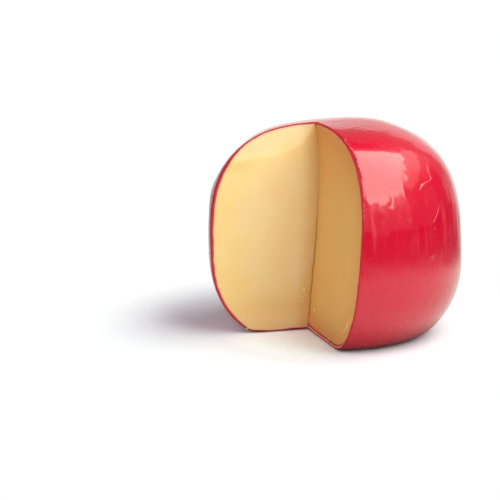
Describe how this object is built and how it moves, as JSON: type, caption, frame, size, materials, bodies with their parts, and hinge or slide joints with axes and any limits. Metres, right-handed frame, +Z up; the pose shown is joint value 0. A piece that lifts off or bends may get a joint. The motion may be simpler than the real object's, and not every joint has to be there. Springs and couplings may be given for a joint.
{
  "type": "ball of cheese",
  "caption": "Round red-waxed ball cheese resting on a flat spot, with an upright quarter cut out from top to bottom, showing two smooth faces of pale yellow cheese.",
  "frame": {"origin": "on the flat spot that the ball rests on, under the middle of its widest ring", "axes": "+Z up, along the ball's shortest dimension; -Y the front, with the cut opening towards the front left (-X, -Y); +X to the right"},
  "size_m": [0.1401, 0.1396, 0.1185],
  "materials": {
    "wax": "glossy red cheese wax, slightly translucent, with soft dents and drips",
    "cheese": "smooth cut face of semi-hard cheese, moist satin, translucent"
  },
  "bodies": {
    "root": {"cheese_ball": "wax"}
  },
  "joints": []
}
